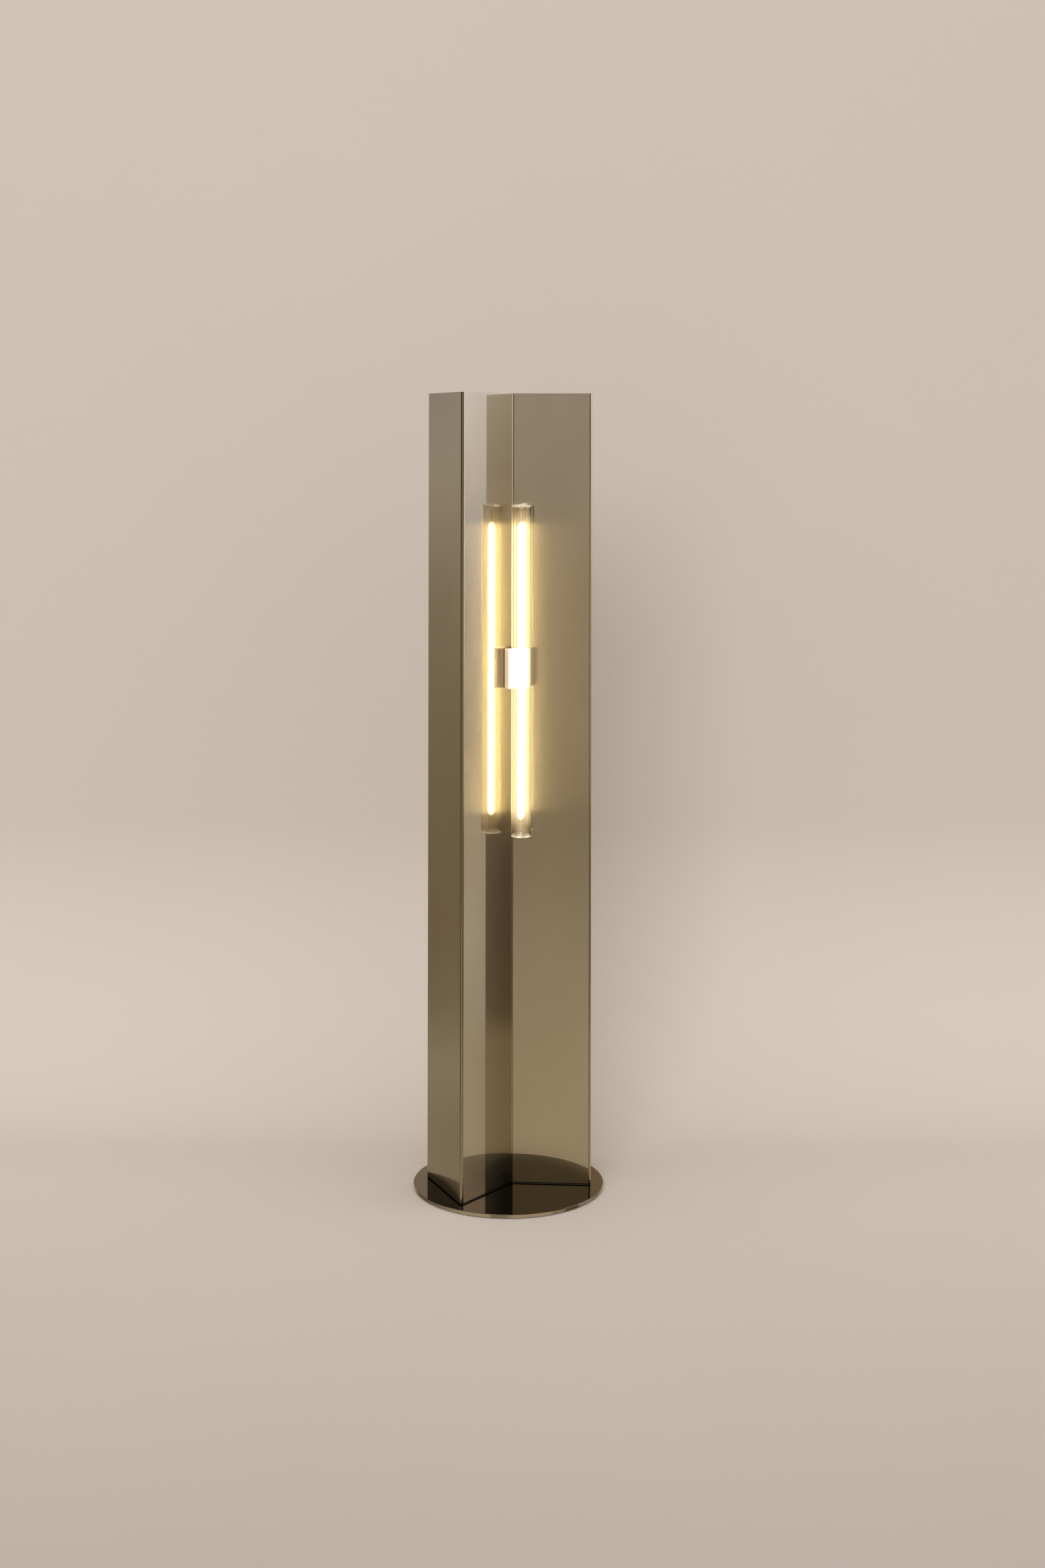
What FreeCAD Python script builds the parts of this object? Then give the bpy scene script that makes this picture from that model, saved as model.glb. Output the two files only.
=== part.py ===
import FreeCAD, Part
import math
import os

# Floor lamp: a mirror-finish folded column on a round plate, with one tube lamp in its front groove.
# Millimetres. The origin is the centre of the underside, on the floor. +Z is up and the lit groove
# faces -Y. Seen from above the column is an hourglass: two lobes that meet at a narrow waist.

V = FreeCAD.Vector
X_AXIS = V(1, 0, 0)
Y_AXIS = V(0, 1, 0)
Z_AXIS = V(0, 0, 1)
ORIGIN = V(0, 0, 0)

# Base
plate_diameter = 290.0
plate_thickness = 5.5
plate_edge_break = 0.4
pad_thickness = 1.0
pad_inset = 3.0

# Column, measured on its outer faces
column_height = 1205.0
column_shadow_gap = 0.8
panel_width = 123.0
groove_angle = 123.0
waist_width = 24.0
shell_sheet = 1.5
cover_sheet = 1.5
corner_inner_radius = 2.0
groove_radius = 3.5
flange_width = 22.0
cover_edge_gap = 0.3

# Clearances
bonded_fit = 0.1
loose_fit = 0.3
thread_clearance = 0.05
shank_clearance = 0.2
cut_overrun = 1.0
pick_tolerance = 0.01

# Inner plates
foot_thickness = 8.0
former_thickness = 3.0
former_window_diameter = 46.0
former_window_share = 0.66
former_height_shares = {
    "former_low": 0.21,
    "former_mid": 0.40,
    "former_high": 0.585,
    "former_top": 0.81,
}
top_cap_thickness = 2.0

# Screws: shank, head diameter, head height, length under or with the head, hexagon drive
base_screw = {"shank": 6.0, "head": 12.0, "head_height": 3.0, "length": 12.0, "drive": 4.0}
cover_screw = {"shank": 3.0, "head": 5.6, "head_height": 1.7, "length": 6.0, "drive": 2.0}
cap_screw = {"shank": 3.0, "head": 5.4, "head_height": 1.3, "length": 4.6, "drive": 2.0}
holder_screw = {"shank": 4.0, "head": 7.0, "head_height": 2.4, "length": 12.0, "drive": 2.5}
terminal_screw = {"shank": 3.0, "head": 5.0, "head_height": 1.8, "length": 9.0, "drive": 2.0}
earth_screw = {"shank": 4.0, "head": 7.0, "head_height": 2.4, "length": 6.0, "drive": 2.5}
drive_depth_share = 0.6
head_round_share = 0.33
base_screw_places_shares = [(0.22, 0.0), (0.80, 0.55), (0.80, -0.55)]
cap_screw_place_shares = (0.82, 0.6)
cover_screw_rows = 5
cover_screw_margin = 40.0
clinch_nut_shank = 4.2
clinch_nut_body = 6.3
clinch_nut_height = 1.4

# Tube lamp
lamp_height_share = 0.6533
tube_diameter = 30.0
tube_length = 505.0
tube_drop = 2.5
tube_wall = 1.2
tube_to_fold = 32.0
tube_end_dome = 2.5
tube_end_rim = 1.3
tube_end_edge = 0.5
tube_end_spigot = 1.5
core_diameter = 12.0
core_end_room = 26.5
core_tip = 10.0
core_nose_diameter = 2.0
support_wire = 1.2
support_spread = 6.0
support_grip = 4.0
support_sink = 1.0
tube_nub_diameter = 3.6
tube_nub_height = 3.0
saddle_wall = 1.5
saddle_length = 60.0
saddle_edge = 0.6
saddle_set_back = 0.4

# Lamp cap behind the saddle, with its two blades
cap_width = 16.0
cap_height = 34.0
blade_width = 5.0
blade_thickness = 1.0
blade_root = 2.4
blade_spacing = 22.0
blade_end_gap = 0.8

# Holder in the groove
holder_width = 36.0
holder_height = 60.0
holder_front_set_back = 6.5
holder_edge = 0.6
holder_tip_radius = 7.0
insert_width = 20.0
insert_height = 40.0
insert_depth = 6.5
insert_wall_gap = 0.5
contact_sheet = 0.4
contact_gap = 0.1
contact_front_share = 0.96
backplate_thickness = 2.5
backplate_width = 16.0
backplate_height = 76.0
backplate_spot_depth = 0.9

# Wiring inside the column
lead_diameter = 2.0
lead_gap = 0.1
lead_y = 2.0
lead_low_radius = 30.0
lead_high_radius = 6.0
lead_sway_radius = 10.0
lead_sway_start = 3.0
lead_sway_end = 12.0
grommet_wall = 1.2
grommet_flange = 1.6
grommet_lip = 1.2
terminal_length = 30.0
terminal_width = 34.0
terminal_height = 14.0
terminal_place_share = 0.60
terminal_screw_share = 0.78
terminal_grip_share = 0.6
terminal_poles = 3
terminal_pole_pitch = 7.0
clamp_diameter = 5.0
clamp_bore = 3.0
clamp_inset = 4.0
clamp_stud = 2.4
earth_lead_diameter = 2.5
earth_lead_run = 6.0
earth_lead_radius = 4.0
earth_ring_diameter = 9.0
earth_ring_sheet = 1.0
earth_ring_reach = 9.0

# Cord inlet at the back, near the floor
gland_bore = 7.2
gland_shank = 12.0
gland_inside = 10.0
gland_flange_diameter = 18.0
gland_flange_thickness = 3.0
gland_neck = 11.0
gland_neck_length = 6.0
gland_cap_diameter = 16.0
gland_cap_dome = 2.5
gland_seal_diameter = 10.0
gland_seal_length = 3.0
gland_front_wall = 2.8
gland_nut_flats = 15.0
gland_nut_height = 4.0
gland_height = 34.0
gland_place_share = 0.37

# Levels and the column's plan
plate_top = pad_thickness + plate_thickness
column_foot = plate_top + column_shadow_gap
column_top = plate_top + column_height
lamp_z = plate_top + lamp_height_share * column_height
tube_z = lamp_z - tube_drop
half_groove = math.radians(groove_angle) / 2
wall_slope = 1 / math.tan(half_groove)
lobe_reach = panel_width * math.sin(half_groove)
half_waist = waist_width / 2
lobe_half_width = half_waist + lobe_reach * wall_slope

# Outer corners, counter-clockwise from above, starting at the back left
back_left = V(-lobe_reach, lobe_half_width, 0)
front_left = V(-lobe_reach, -lobe_half_width, 0)
front_fold = V(0, -half_waist, 0)
front_right = V(lobe_reach, -lobe_half_width, 0)
back_right = V(lobe_reach, lobe_half_width, 0)
back_fold = V(0, half_waist, 0)

corner_radius = corner_inner_radius + shell_sheet
corner_turn = math.pi - half_groove
corner_setback = cover_sheet * wall_slope
cover_setback = corner_setback + corner_radius * math.tan(corner_turn / 2) + cover_edge_gap
flange_reach = corner_setback + flange_width

tube_radius = tube_diameter / 2
tube_axis_y = -half_waist - tube_to_fold
tube_end_thickness = tube_end_dome + tube_end_rim
core_length = tube_length - 2 * core_end_room
saddle_radius = tube_radius + bonded_fit + saddle_wall
holder_front_y = tube_axis_y + holder_front_set_back


def wall_y(x):
    """The y of the front groove's face at x, on its flat walls."""
    return -half_waist - abs(x) * wall_slope


# Outlines

def unit(a, b):
    """The direction from a to b."""
    d = b - a
    return d / d.Length


def crossing(a, da, b, db):
    """Where the line through a along da meets the line through b along db, in plan."""
    cross = da.x * db.y - da.y * db.x
    gap = b - a
    return a + da * ((gap.x * db.y - gap.y * db.x) / cross)


def moved_edges(points, distances, closed):
    """The outline with each edge moved to its left by its own distance."""
    count = len(points)
    last = count if closed else count - 1
    starts = []
    ways = []
    for i in range(last):
        way = unit(points[i], points[(i + 1) % count])
        starts.append(points[i] + V(-way.y, way.x, 0) * distances[i])
        ways.append(way)
    corners = []
    for i in range(count):
        if not closed and i == 0:
            corners.append(starts[0])
        elif not closed and i == count - 1:
            corners.append(starts[-1] + ways[-1] * (points[-1] - points[-2]).Length)
        else:
            corners.append(crossing(starts[i - 1], ways[i - 1], starts[i % last], ways[i % last]))
    return corners


def line(a, b):
    """A straight edge."""
    return Part.LineSegment(a, b).toShape()


def rounded_edges(points, radii, closed):
    """Straight edges through the points with an arc of its own radius at each corner, none where it is 0."""
    count = len(points)
    entries = list(points)
    leaves = list(points)
    middles = [None] * count
    for i in range(count):
        if radii[i] == 0 or (not closed and i in (0, count - 1)):
            continue
        way_in = unit(points[i - 1], points[i])
        way_out = unit(points[i], points[(i + 1) % count])
        half_turn = way_in.getAngle(way_out) / 2
        trim = radii[i] * math.tan(half_turn)
        entries[i] = points[i] - way_in * trim
        leaves[i] = points[i] + way_out * trim
        inward = way_out - way_in
        middles[i] = points[i] + inward / inward.Length * (radii[i] / math.cos(half_turn) - radii[i])
    edges = []
    for i in range(count):
        if middles[i] is not None:
            edges.append(Part.Arc(entries[i], middles[i], leaves[i]).toShape())
        if closed or i < count - 1:
            edges.append(line(leaves[i], entries[(i + 1) % count]))
    return edges


def prism(edges, low, high):
    """A solid over a closed outline, from the height low to the height high."""
    face = Part.Face(Part.Wire(edges))
    face.translate(V(0, 0, low))
    return face.extrude(V(0, 0, high - low))


def turns_left(points, i):
    """True where the path turns left at its point i."""
    a = unit(points[i - 1], points[i])
    b = unit(points[i], points[i + 1])
    return a.x * b.y - a.y * b.x > 0


def folded_sheet(points, radii, thickness, low, high):
    """A bent sheet. The points and radii are those of its right-hand face; the metal lies to the left."""
    far_points = moved_edges(points, [thickness] * len(points), False)
    far_radii = [0]
    for i in range(1, len(points) - 1):
        far_radii.append(radii[i] - thickness if turns_left(points, i) else radii[i] + thickness)
    far_radii.append(0)
    edges = rounded_edges(points, radii, False)
    edges.append(line(points[-1], far_points[-1]))
    edges += rounded_edges(far_points[::-1], far_radii[::-1], False)
    edges.append(line(far_points[0], points[0]))
    return prism(edges, low, high)


def inner_plate(fit, low, high):
    """A plate that fills the column's hollow, with the given fit to the shell, its flanges and the cover."""
    left_wall = unit(back_fold, back_left)
    inward = V(-left_wall.y, left_wall.x, 0)
    flange_end = back_left - left_wall * (flange_reach + fit)
    shallow = cover_sheet + fit
    deep = cover_sheet + shell_sheet + fit
    front = shell_sheet + fit
    corners = moved_edges(
        [back_left, front_left, front_fold, front_right, back_right, back_fold],
        [front, front, front, front, deep, deep],
        True,
    )
    neck = moved_edges([back_right, back_fold, back_left], [shallow, shallow], False)[1]
    notch_outer = flange_end + inward * shallow
    notch_inner = flange_end + inward * deep
    points = corners[:5] + [mirrored(notch_inner), mirrored(notch_outer), neck, notch_outer, notch_inner]
    sharp = corner_inner_radius - fit if corner_inner_radius > fit else 0
    fold = groove_radius + shell_sheet + fit
    back = groove_radius + cover_sheet + fit
    radii = [sharp, sharp, fold, sharp, sharp, 0, 0, back, 0, 0]
    return prism(rounded_edges(points, radii, True), low, high)


def mirrored(point):
    """The same place on the other side of the lamp's middle plane."""
    return V(-point.x, point.y, point.z)


# Common solids

def rod(radius, start, end):
    """A round rod between two points."""
    return Part.makeCylinder(radius, (end - start).Length, start, unit(start, end))


def block(low, high):
    """A box between two opposite corners."""
    size = high - low
    return Part.makeBox(size.x, size.y, size.z, low)


def hexagon(flats, height, base):
    """A six-sided prism standing on the point base."""
    reach = flats / math.sqrt(3)
    ring = [base + V(math.cos(i * math.pi / 3), math.sin(i * math.pi / 3), 0) * reach for i in range(6)]
    return prism([line(ring[i - 1], ring[i]) for i in range(6)], 0, height)


def rim_edges(shape, level):
    """The closed round edges of the shape at a level."""
    return [e for e in shape.Edges if abs(e.BoundBox.ZMin - level) < pick_tolerance and len(e.Vertexes) == 1
            and e.BoundBox.ZLength < pick_tolerance]


def pan_screw(size):
    """A pan head screw on +Z: the head stands on the origin and the shank hangs below it."""
    rise = size["head_height"]
    head = Part.makeCylinder(size["head"] / 2, rise)
    head = head.makeFillet(rise * head_round_share, rim_edges(head, rise))
    shank = Part.makeCylinder(size["shank"] / 2, size["length"], V(0, 0, -size["length"]))
    depth = rise * drive_depth_share
    drive = hexagon(size["drive"], depth + cut_overrun, V(0, 0, 0))
    return head.fuse(shank).cut(drive.translated(V(0, 0, rise - depth)))


def flush_screw(size):
    """A countersunk screw on +Z: its flat head ends at the origin and the shank hangs below it."""
    deep = size["head_height"]
    head = Part.makeCone(size["shank"] / 2, size["head"] / 2, deep, V(0, 0, -deep))
    shank = Part.makeCylinder(size["shank"] / 2, size["length"], V(0, 0, -size["length"]))
    depth = deep * drive_depth_share
    drive = hexagon(size["drive"], depth + cut_overrun, V(0, 0, 0))
    return head.fuse(shank).cut(drive.translated(V(0, 0, -depth)))


def flush_seat(size, clearance):
    """The countersunk hole that takes a flush screw, along +Z from its mouth at the origin."""
    deep = size["head_height"]
    cone = Part.makeCone(size["shank"] / 2 + clearance, size["head"] / 2 + clearance, deep, V(0, 0, -deep))
    mouth = Part.makeCylinder(size["head"] / 2 + clearance, cut_overrun)
    reach = size["length"] + cut_overrun
    return cone.fuse(mouth).fuse(Part.makeCylinder(size["shank"] / 2 + clearance, reach, V(0, 0, -reach)))


def placed(shape, place, way):
    """The shape moved to place, with its +Z turned to point along way."""
    moved = shape.copy()
    moved.Placement = FreeCAD.Placement(place, FreeCAD.Rotation(Z_AXIS, way)).multiply(shape.Placement)
    return moved


def cut_all(shape, tools):
    """The shape with every tool cut out of it."""
    return shape.cut(Part.makeCompound(tools))


def holes(places, radius, low, high):
    """Upright hole cutters at the places, from low to high with an overrun at both ends."""
    return [rod(radius, V(p.x, p.y, low - cut_overrun), V(p.x, p.y, high + cut_overrun)) for p in places]


# Places of fasteners

def lobe_places(x_share, side_share):
    """One place in each lobe: its reach along x and its side of the middle, as shares."""
    x = lobe_reach * x_share
    y = (half_waist + x * wall_slope) * side_share
    return [V(-x, y, 0), V(x, y, 0)]


base_screw_places = [p for x, y in base_screw_places_shares for p in lobe_places(x, y)]
cap_screw_x, cap_screw_side = cap_screw_place_shares
cap_screw_places = lobe_places(cap_screw_x, cap_screw_side) + lobe_places(cap_screw_x, -cap_screw_side)
row_step = (column_height - 2 * cover_screw_margin) / (cover_screw_rows - 1)
cover_screw_heights = [plate_top + cover_screw_margin + i * row_step for i in range(cover_screw_rows)]
right_wall = unit(back_fold, back_right)
right_out = V(-right_wall.y, right_wall.x, 0)
cover_screw_line = (panel_width - (cover_setback + flange_reach) / 2) * right_wall + back_fold


def on_both_flanges(shape_at_right):
    """The shape repeated on every screw row of the right flange, and mirrored to the left one."""
    right = [shape_at_right.translated(V(0, 0, z)) for z in cover_screw_heights]
    return right + [s.mirror(ORIGIN, X_AXIS) for s in right]


# Base

def base_pad():
    return Part.makeCylinder(plate_diameter / 2 - pad_inset, pad_thickness)


def base_plate():
    plate = Part.makeCylinder(plate_diameter / 2, plate_thickness, V(0, 0, pad_thickness))
    plate = plate.makeChamfer(plate_edge_break, rim_edges(plate, pad_thickness) + rim_edges(plate, plate_top))
    seat = flush_seat(base_screw, shank_clearance)
    return cut_all(plate, [placed(seat, p + V(0, 0, pad_thickness), -Z_AXIS) for p in base_screw_places])


def base_screws():
    screw = flush_screw(base_screw)
    return Part.makeCompound([placed(screw, p + V(0, 0, pad_thickness), -Z_AXIS) for p in base_screw_places])


def foot_plate():
    foot_top = plate_top + foot_thickness
    plate = inner_plate(bonded_fit, plate_top, foot_top)
    cutters = []
    for screw, places in (
        (base_screw, base_screw_places),
        (terminal_screw, terminal_screw_places()),
        (earth_screw, [earth_place()]),
    ):
        cutters += holes(places, screw["shank"] / 2 + thread_clearance, plate_top, foot_top)
    return cut_all(plate, cutters)


# Column

def lead_holes():
    """The cutters for the two leads' way through the front fold."""
    return [rod(lead_diameter / 2 + loose_fit, V(0, tube_axis_y, z), V(0, 0, z)) for z in blade_heights]


def holder_screw_heights():
    rise = (insert_height / 2 + holder_height / 2) / 2
    return [lamp_z - rise, lamp_z + rise]


def fold_holes(radius):
    """The cutters for the two holder screws through the front fold."""
    return [rod(radius, V(0, tube_axis_y, z), V(0, 0, z)) for z in holder_screw_heights()]


def column_shell():
    flange_left = back_left - unit(back_fold, back_left) * flange_reach
    flange_right = mirrored(flange_left)
    drop = [cover_sheet, 0, 0, 0, 0, cover_sheet]
    points = [flange_left, back_left, front_left, front_fold, front_right, back_right, flange_right]
    points = moved_edges(points, drop, False)
    radii = [0, corner_radius, corner_radius, groove_radius, corner_radius, corner_radius, 0]
    shell = folded_sheet(points, radii, shell_sheet, column_foot, column_top)
    hole = rod(clinch_nut_shank / 2 + bonded_fit, cover_screw_line + right_out * cut_overrun,
               cover_screw_line - right_out * (cover_sheet + shell_sheet + cut_overrun))
    screw_holes = fold_holes(holder_screw["shank"] / 2 + shank_clearance)
    return cut_all(shell, on_both_flanges(hole) + screw_holes + lead_holes())


def back_cover():
    left_edge = back_left - unit(back_fold, back_left) * cover_setback
    points = [mirrored(left_edge), back_fold, left_edge]
    cover = folded_sheet(points, [0, groove_radius, 0], cover_sheet, column_foot, column_top)
    hole = rod(cover_screw["shank"] / 2 + shank_clearance, cover_screw_line + right_out * cut_overrun,
               cover_screw_line - right_out * (cover_sheet + cut_overrun))
    gland_hole = placed(Part.makeCylinder(gland_shank / 2 + bonded_fit, 2 * cut_overrun + cover_sheet,
                                          V(0, 0, -cover_sheet - cut_overrun)), gland_place(), right_out)
    return cut_all(cover, on_both_flanges(hole) + [gland_hole])


def cover_screws():
    screw = placed(pan_screw(cover_screw), cover_screw_line, right_out)
    return Part.makeCompound(on_both_flanges(screw))


def clinch_nuts():
    seat = cover_screw_line - right_out * cover_sheet
    inside = seat - right_out * shell_sheet
    end = inside - right_out * clinch_nut_height
    nut = rod(clinch_nut_shank / 2, seat, inside).fuse(rod(clinch_nut_body / 2, inside, end))
    bore = rod(cover_screw["shank"] / 2 + thread_clearance, seat + right_out * cut_overrun,
               end - right_out * cut_overrun)
    return Part.makeCompound(on_both_flanges(nut.cut(bore)))


def former(name):
    """One of the plates that keep the column's section. Those below the lamp let the lead through."""
    low = plate_top + former_height_shares[name] * column_height
    high = low + former_thickness
    window_x = lobe_reach * former_window_share
    cutters = holes([V(-window_x, 0, 0), V(window_x, 0, 0)], former_window_diameter / 2, low, high)
    if high < lamp_z:
        cutters += holes([V(0, lead_y, 0)], grommet_neck_radius() + bonded_fit, low, high)
    return cut_all(inner_plate(bonded_fit, low, high), cutters)


def grommet_neck_radius():
    return grommet_bore_radius() + grommet_wall


def grommet_bore_radius():
    return (lead_spread + lead_diameter) / 2 + bonded_fit


def grommets():
    """One for each plate below the lamp, round both leads."""
    rings = []
    for share in former_height_shares.values():
        low = plate_top + share * column_height
        high = low + former_thickness
        if high > lamp_z:
            continue
        place = V(0, lead_y, 0)
        lip = grommet_neck_radius() + grommet_flange
        foot = place + V(0, 0, low - grommet_lip)
        head = place + V(0, 0, high + grommet_lip)
        ring = rod(grommet_neck_radius(), foot, head)
        ring = ring.fuse(rod(lip, foot, place + V(0, 0, low)))
        ring = ring.fuse(rod(lip, place + V(0, 0, high), head))
        rings.append(cut_all(ring, holes([place], grommet_bore_radius(), foot.z, head.z)))
    return Part.makeCompound(rings)


def cap_carrier():
    high = column_top - top_cap_thickness
    low = high - former_thickness
    plate = inner_plate(bonded_fit, low, high)
    return cut_all(plate, holes(cap_screw_places, cap_screw["shank"] / 2 + thread_clearance, low, high))


def top_cap():
    cap = inner_plate(loose_fit, column_top - top_cap_thickness, column_top)
    seat = flush_seat(cap_screw, shank_clearance)
    return cut_all(cap, [placed(seat, p + V(0, 0, column_top), Z_AXIS) for p in cap_screw_places])


def cap_screws():
    screw = flush_screw(cap_screw)
    return Part.makeCompound([placed(screw, p + V(0, 0, column_top), Z_AXIS) for p in cap_screw_places])


# Holder and socket

insert_back_y = wall_y(insert_width / 2) - insert_wall_gap
insert_front_y = insert_back_y - insert_depth
cap_back_y = insert_front_y - loose_fit
blade_end_y = insert_back_y - contact_sheet - blade_end_gap
blade_heights = [lamp_z - blade_spacing / 2, lamp_z + blade_spacing / 2]


def across(half_width, low_y, high_y, half_height, z):
    """A box centred on x = 0 and on the height z."""
    return block(V(-half_width, low_y, z - half_height), V(half_width, high_y, z + half_height))


def holder_body():
    half = holder_width / 2
    tip = V(0, -half_waist - bonded_fit / math.sin(half_groove), 0)
    side = wall_y(half) - bonded_fit / math.sin(half_groove)
    points = [V(-half, holder_front_y, 0), V(half, holder_front_y, 0), V(half, side, 0), tip, V(-half, side, 0)]
    edges = rounded_edges(points, [0, 0, 0, holder_tip_radius, 0], True)
    low = lamp_z - holder_height / 2
    body = prism(edges, low, low + holder_height)
    level = [e for e in body.Edges if e.BoundBox.ZLength < pick_tolerance]
    sides = [e for e in level if e.BoundBox.XLength < pick_tolerance]
    body = body.makeChamfer(holder_edge, sides)
    recess = rod(saddle_radius + loose_fit, V(0, tube_axis_y, low - cut_overrun),
                 V(0, tube_axis_y, low + holder_height + cut_overrun))
    pocket = across(insert_width / 2 + bonded_fit, insert_front_y, 0, insert_height / 2 + bonded_fit, lamp_z)
    mouth = across(cap_width / 2 + loose_fit, tube_axis_y, insert_front_y, cap_height / 2 + loose_fit, lamp_z)
    taps = [rod(holder_screw["shank"] / 2 + thread_clearance, V(0, holder_screw_end_y(), z), V(0, 0, z))
            for z in holder_screw_heights()]
    return cut_all(body, [recess, pocket, mouth] + taps)


def socket_insert():
    body = across(insert_width / 2, insert_front_y, insert_back_y, insert_height / 2, lamp_z)
    front = insert_front_y - cut_overrun
    back = insert_back_y + cut_overrun
    half = contact_half_height() + bonded_fit
    return cut_all(body, [across(blade_width / 2 + loose_fit, front, back, half, z) for z in blade_heights])


def contact_half_height():
    return blade_thickness / 2 + contact_gap + contact_sheet


def socket_contacts():
    """A folded spring clip in each slot, open to the front, with the blade between its leaves."""
    clips = []
    for z in blade_heights:
        front = insert_back_y - insert_depth * contact_front_share
        clip = across(blade_width / 2, front, insert_back_y, contact_half_height(), z)
        room = across(blade_width / 2 + cut_overrun, front - cut_overrun, insert_back_y - contact_sheet,
                      contact_half_height() - contact_sheet, z)
        clips.append(clip.cut(room))
    return Part.makeCompound(clips)


def backplate_seat_y():
    """The y of the flats that the holder screws' heads press on, sunk in the back plate's rounded fold."""
    depth = shell_sheet + bonded_fit + backplate_thickness
    rounding = (groove_radius + depth) * (1 / math.sin(half_groove) - 1)
    return front_fold.y + depth / math.sin(half_groove) - rounding - backplate_spot_depth


def holder_screw_end_y():
    return backplate_seat_y() - holder_screw["length"] - bonded_fit


def holder_backplate():
    inner = moved_edges(
        [front_fold + unit(front_fold, front_left) * backplate_width, front_fold,
         front_fold + unit(front_fold, front_right) * backplate_width],
        [shell_sheet + bonded_fit] * 2,
        False,
    )
    radius = groove_radius + shell_sheet + bonded_fit
    low = lamp_z - backplate_height / 2
    plate = folded_sheet(inner, [0, radius, 0], backplate_thickness, low, low + backplate_height)
    spots = [rod(holder_screw["head"] / 2 + loose_fit, V(0, backplate_seat_y(), z), V(0, half_waist, z))
             for z in holder_screw_heights()]
    screw_holes = fold_holes(holder_screw["shank"] / 2 + shank_clearance)
    return cut_all(plate, spots + screw_holes + lead_holes())


def holder_screws():
    screw = pan_screw(holder_screw)
    seat = backplate_seat_y()
    return Part.makeCompound([placed(screw, V(0, seat, z), Y_AXIS) for z in holder_screw_heights()])


# Tube lamp

def lamp_levels():
    return tube_z - tube_length / 2, tube_z + tube_length / 2


def on_axis(z):
    return V(0, tube_axis_y, z)


def glass_tube():
    low, high = lamp_levels()
    low += tube_end_thickness
    high -= tube_end_thickness
    outer = rod(tube_radius, on_axis(low), on_axis(high))
    return outer.cut(rod(tube_radius - tube_wall, on_axis(low - cut_overrun), on_axis(high + cut_overrun)))


def support_wires(radius):
    """Both wires at each end of the core, as cutters or as metal. They end inside the glass ends."""
    wires = []
    for side in (1, -1):
        start = tube_z + side * (core_length / 2 - core_tip - support_grip)
        end = tube_z + side * (tube_length / 2 - tube_end_thickness + support_sink)
        for x in (-support_spread / 2, support_spread / 2):
            wires.append(rod(radius, on_axis(start) + V(x, 0, 0), on_axis(end) + V(x, 0, 0)))
    return wires


def tube_end(z, way):
    """The domed glass that closes the tube at the height z. Its dome looks along way."""
    bow = (tube_radius ** 2 + tube_end_dome ** 2) / (2 * tube_end_dome)
    disc = Part.makeCylinder(tube_radius, tube_end_thickness, V(0, 0, -tube_end_thickness))
    disc = disc.common(Part.makeSphere(bow, V(0, 0, -bow)))
    disc = disc.makeFillet(tube_end_edge, rim_edges(disc, -tube_end_dome))
    deep = tube_end_thickness + tube_end_spigot
    root = V(0, 0, tube_end_edge - tube_end_thickness)
    disc = disc.fuse(rod(tube_radius - tube_wall - bonded_fit, V(0, 0, -deep), root))
    disc = disc.fuse(rod(tube_nub_diameter / 2, V(0, 0, -deep - tube_nub_height), root))
    wire_holes = support_wires(support_wire / 2 + thread_clearance)
    return cut_all(placed(disc, on_axis(z), way), wire_holes)


def tube_end_upper():
    return tube_end(lamp_levels()[1], Z_AXIS)


def tube_end_lower():
    return tube_end(lamp_levels()[0], -Z_AXIS)


def led_core():
    """A light rod with a bullet tip at both ends, held by its wires."""
    radius = core_diameter / 2
    nose = core_nose_diameter / 2
    straight = core_length / 2 - core_tip
    bow = ((radius - nose) ** 2 + core_tip ** 2) / (2 * (radius - nose))
    slope = math.atan2(core_tip, bow - radius + nose) / 2
    middle = V(radius - bow * (1 - math.cos(slope)), 0, straight + bow * math.sin(slope))
    top = V(0, 0, core_length / 2)
    shoulder = V(radius, 0, straight)
    flat = V(nose, 0, top.z)
    low_middle = V(middle.x, 0, -middle.z)
    low_shoulder = V(radius, 0, -straight)
    low_flat = V(nose, 0, -top.z)
    outline = [
        Part.Arc(shoulder, middle, flat).toShape(),
        line(flat, top),
        line(top, -top),
        line(-top, low_flat),
        Part.Arc(low_flat, low_middle, low_shoulder).toShape(),
        line(low_shoulder, shoulder),
    ]
    core = Part.Face(Part.Wire(outline)).revolve(ORIGIN, Z_AXIS, 360)
    return cut_all(core.translated(on_axis(tube_z)), support_wires(support_wire / 2 + thread_clearance))


def core_supports():
    return Part.makeCompound(support_wires(support_wire / 2))


def lamp_saddle():
    """Hugs the back of the glass inside the holder, and ends just behind the holder's front."""
    low = lamp_z - saddle_length / 2
    top = low + saddle_length
    ring = rod(saddle_radius, on_axis(low), on_axis(top))
    ring = ring.makeFillet(saddle_edge, rim_edges(ring, low) + rim_edges(ring, top))
    bore = rod(tube_radius + bonded_fit, on_axis(low - cut_overrun), on_axis(top + cut_overrun))
    front = across(saddle_radius + cut_overrun, tube_axis_y - saddle_radius - cut_overrun,
                   holder_front_y + saddle_set_back, saddle_length / 2 + cut_overrun, lamp_z)
    return cut_all(ring, [bore, front])


def blade(z):
    return across(blade_width / 2, cap_back_y - blade_root, blade_end_y, blade_thickness / 2, z)


def lamp_cap():
    body = across(cap_width / 2, tube_axis_y, cap_back_y, cap_height / 2, lamp_z)
    hollow = rod(saddle_radius + bonded_fit, on_axis(lamp_z - cap_height), on_axis(lamp_z + cap_height))
    return cut_all(body, [hollow] + [blade(z) for z in blade_heights])


def cap_blades():
    return Part.makeCompound([blade(z) for z in blade_heights])


# Wiring

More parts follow.
